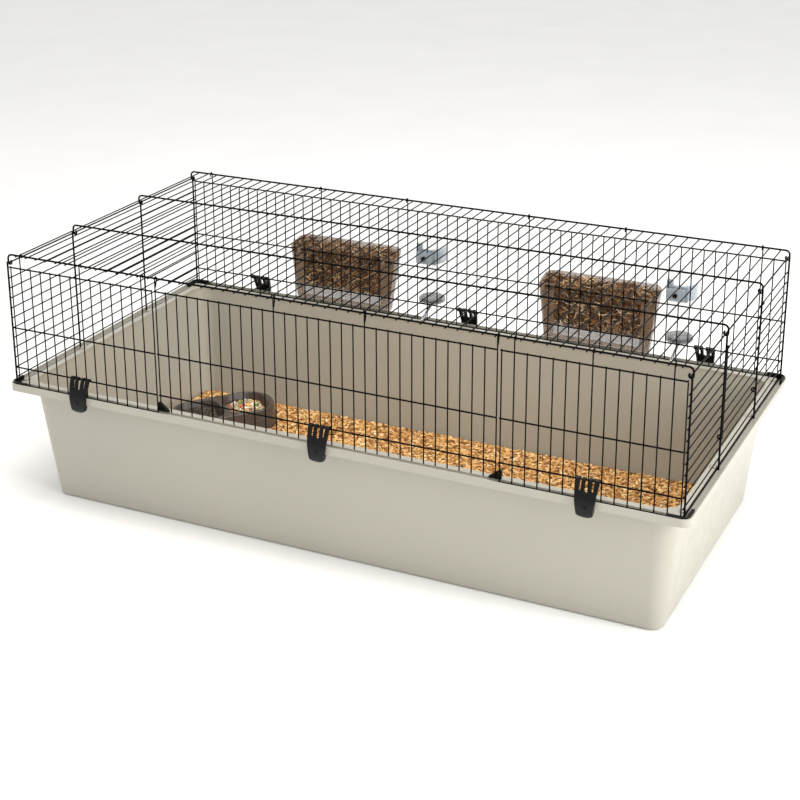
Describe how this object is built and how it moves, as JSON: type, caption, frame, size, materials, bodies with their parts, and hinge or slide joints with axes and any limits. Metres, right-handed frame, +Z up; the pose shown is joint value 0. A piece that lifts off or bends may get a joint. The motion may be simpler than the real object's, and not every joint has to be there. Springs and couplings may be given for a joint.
{
  "type": "wire rabbit cage",
  "caption": "Long wire cage for rabbits on a deep plastic tub, with a lift-up front door, a side door, hay racks, water bottles and a double bowl.",
  "frame": {"origin": "centre of the tub's flat underside", "axes": "+X along the cage towards the end with the side door, -Y the front with the door, +Z up"},
  "size_m": [1.63, 0.8868, 0.6174],
  "materials": {
    "tub_plastic": "glossy, warm grey-beige",
    "wood_chips": "loose light wood chips",
    "boot_plastic": "black",
    "black_wire": "black gloss coating",
    "guide_plastic": "black",
    "clip_plastic": "glossy black",
    "rack_plastic": "clear smoke-brown",
    "hay": "dry hay",
    "bottle_plastic": "clear",
    "cap_plastic": "dark translucent grey",
    "tube_steel": "polished steel",
    "ball_steel": "polished",
    "bracket_plastic": "blue-grey",
    "plate_plastic": "blue-grey",
    "knob_plastic": "black",
    "bowl_plastic": "glossy dark taupe",
    "dark_pellets": "dark pressed pellets",
    "mixed_feed": "mixed light and coloured grains"
  },
  "bodies": {
    "base": {"tub": "tub_plastic", "bedding": "wood_chips", "corner_boot_front_left": "boot_plastic", "corner_boot_front_right": "boot_plastic", "corner_boot_back_left": "boot_plastic", "corner_boot_back_right": "boot_plastic", "roof_panel": "black_wire", "left_end_panel": "black_wire", "right_end_panel": "black_wire", "back_panel": "black_wire", "front_left_panel": "black_wire", "front_right_panel": "black_wire", "door_guide_left": "guide_plastic", "door_guide_right": "guide_plastic", "bottle_bracket_left": "bracket_plastic", "clamp_plate_left": "plate_plastic", "bottle_bracket_right": "bracket_plastic", "clamp_plate_right": "plate_plastic"},
    "front_door": {"front_door": "black_wire"},
    "side_door": {"side_door": "black_wire"},
    "front_clip_left": {"front_clip_left": "clip_plastic"},
    "front_clip_centre": {"front_clip_centre": "clip_plastic"},
    "front_clip_right": {"front_clip_right": "clip_plastic"},
    "back_clip_left": {"back_clip_left": "clip_plastic"},
    "back_clip_centre": {"back_clip_centre": "clip_plastic"},
    "back_clip_right": {"back_clip_right": "clip_plastic"},
    "hay_rack_left": {"hay_rack_left": "rack_plastic", "hay_left": "hay"},
    "water_bottle_left": {"water_bottle_left": "bottle_plastic", "bottle_cap_left": "cap_plastic", "drinking_tube_left": "tube_steel", "tube_ball_left": "ball_steel"},
    "clamp_knob_left": {"clamp_knob_left": "knob_plastic"},
    "hay_rack_right": {"hay_rack_right": "rack_plastic", "hay_right": "hay"},
    "water_bottle_right": {"water_bottle_right": "bottle_plastic", "bottle_cap_right": "cap_plastic", "drinking_tube_right": "tube_steel", "tube_ball_right": "ball_steel"},
    "clamp_knob_right": {"clamp_knob_right": "knob_plastic"},
    "feeder_bowl": {"feeder_bowl": "bowl_plastic", "dark_pellets": "dark_pellets", "mixed_feed": "mixed_feed"}
  },
  "joints": [
    {"name": "front_door_hinge", "type": "hinge", "parent": "base", "child": "front_door", "pos_m": [0, -0.388, 0.612], "axis": [-1, 0, 0], "range_deg": [0, 180]},
    {"name": "side_door_hinge", "type": "hinge", "parent": "base", "child": "side_door", "pos_m": [0.79665, 0, 0.3643], "axis": [0, 1, 0], "range_deg": [0, 140]},
    {"name": "front_clip_left_pivot", "type": "hinge", "parent": "base", "child": "front_clip_left", "pos_m": [-0.61584, -0.39495, 0.339], "axis": [-1, 0, 0], "range_deg": [0, 120]},
    {"name": "front_clip_centre_pivot", "type": "hinge", "parent": "front_door", "child": "front_clip_centre", "pos_m": [0, -0.39495, 0.339], "axis": [-1, 0, 0], "range_deg": [0, 120]},
    {"name": "front_clip_right_pivot", "type": "hinge", "parent": "base", "child": "front_clip_right", "pos_m": [0.60225, -0.39495, 0.339], "axis": [-1, 0, 0], "range_deg": [0, 120]},
    {"name": "back_clip_left_pivot", "type": "hinge", "parent": "base", "child": "back_clip_left", "pos_m": [-0.60126, 0.39495, 0.339], "axis": [1, 0, 0], "range_deg": [0, 120]},
    {"name": "back_clip_centre_pivot", "type": "hinge", "parent": "base", "child": "back_clip_centre", "pos_m": [0, 0.39495, 0.339], "axis": [1, 0, 0], "range_deg": [0, 120]},
    {"name": "back_clip_right_pivot", "type": "hinge", "parent": "base", "child": "back_clip_right", "pos_m": [0.61493, 0.39495, 0.339], "axis": [1, 0, 0], "range_deg": [0, 120]},
    {"name": "hay_rack_left_lift", "type": "slide", "parent": "base", "child": "hay_rack_left", "axis": [0, 0, 1], "range_m": [0, 0.12]},
    {"name": "water_bottle_left_pull", "type": "slide", "parent": "base", "child": "water_bottle_left", "axis": [0, 1, 0], "range_m": [0, 0.12]},
    {"name": "clamp_knob_left_turn", "type": "hinge", "parent": "base", "child": "clamp_knob_left", "pos_m": [-0.11599, 0.39, 0.465], "axis": [0, 1, 0], "continuous": true},
    {"name": "hay_rack_right_lift", "type": "slide", "parent": "base", "child": "hay_rack_right", "axis": [0, 0, 1], "range_m": [0, 0.12]},
    {"name": "water_bottle_right_pull", "type": "slide", "parent": "base", "child": "water_bottle_right", "axis": [0, 1, 0], "range_m": [0, 0.12]},
    {"name": "clamp_knob_right_turn", "type": "hinge", "parent": "base", "child": "clamp_knob_right", "pos_m": [0.53994, 0.39, 0.465], "axis": [0, 1, 0], "continuous": true},
    {"name": "feeder_bowl_lift", "type": "slide", "parent": "base", "child": "feeder_bowl", "axis": [0, 0, 1], "range_m": [0, 0.2]}
  ]
}
